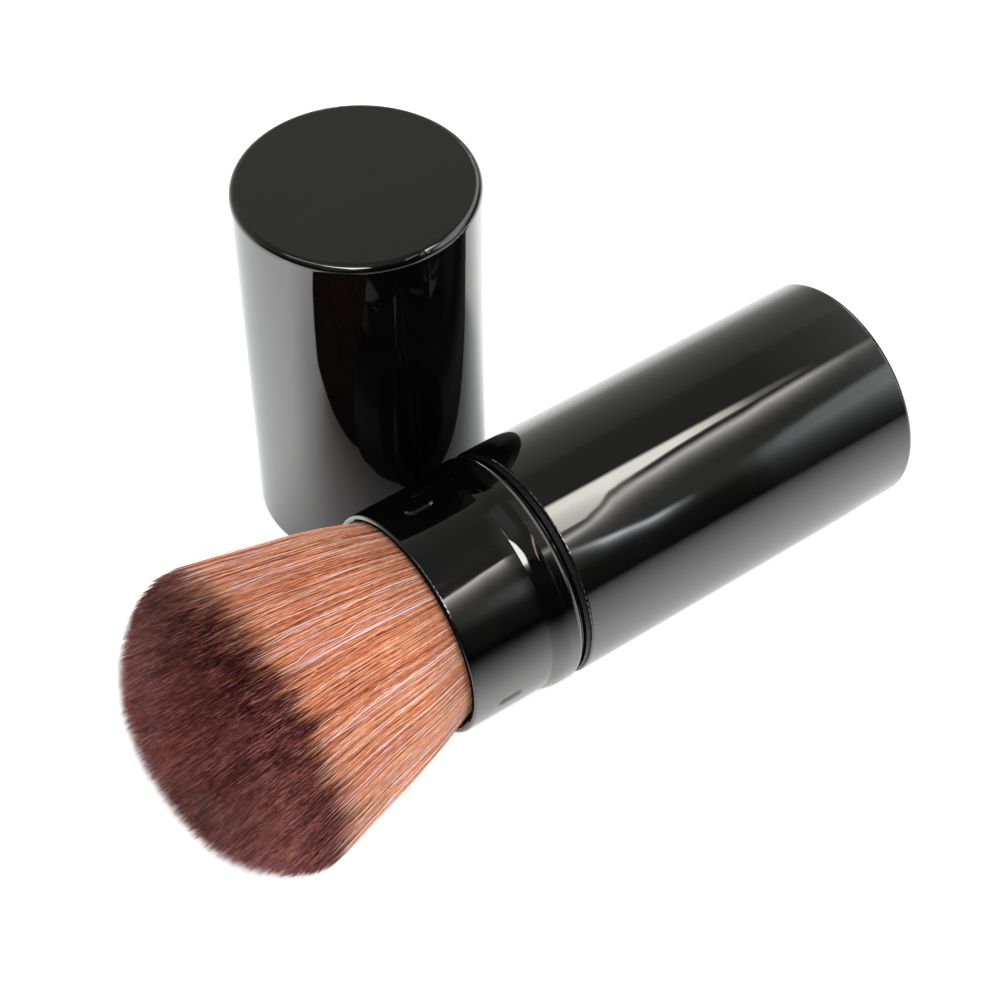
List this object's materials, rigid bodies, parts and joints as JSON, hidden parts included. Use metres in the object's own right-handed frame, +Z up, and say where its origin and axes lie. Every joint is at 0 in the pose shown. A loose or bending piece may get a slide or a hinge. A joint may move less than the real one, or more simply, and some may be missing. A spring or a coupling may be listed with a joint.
{
  "type": "retractable makeup brush",
  "caption": "Retractable powder brush lying open, bristles drawn in by a sliding collar, with its drawn metal cap standing beside it.",
  "frame": {"origin": "middle of the footprint of the lying brush and the standing cap, on the surface they rest on", "axes": "+X along the brush from its bristles to its tail, +Z up, +Y towards the standing cap"},
  "size_m": [0.1116, 0.0748, 0.0568],
  "materials": {
    "black_metal": "polished, dyed black",
    "black_plastic": "moulded",
    "screw_steel": "plated",
    "cup_metal": "satin, dyed black",
    "resin": "cast",
    "bristle_fibre": "fine fibre"
  },
  "bodies": {
    "handle": {"outer_sleeve": "black_metal", "sleeve_liner": "black_plastic", "base_plug": "black_plastic", "stem": "black_plastic", "stem_screws": "screw_steel", "brush_cup": "cup_metal", "root_potting": "resin", "bristles": "bristle_fibre"},
    "collar": {"neck_shell": "black_metal", "shoulder_ring": "black_metal", "guide_tube": "black_plastic"},
    "cap": {"cap_shell": "black_metal"}
  },
  "joints": [
    {"name": "collar_slide", "type": "slide", "parent": "handle", "child": "collar", "axis": [-1, 0, 0], "range_m": [0, 0.04], "deforming": ["bristles"]},
    {"name": "cap_lift", "type": "slide", "parent": "handle", "child": "cap", "axis": [0, 0, 1], "range_m": [0, 0.06]}
  ]
}
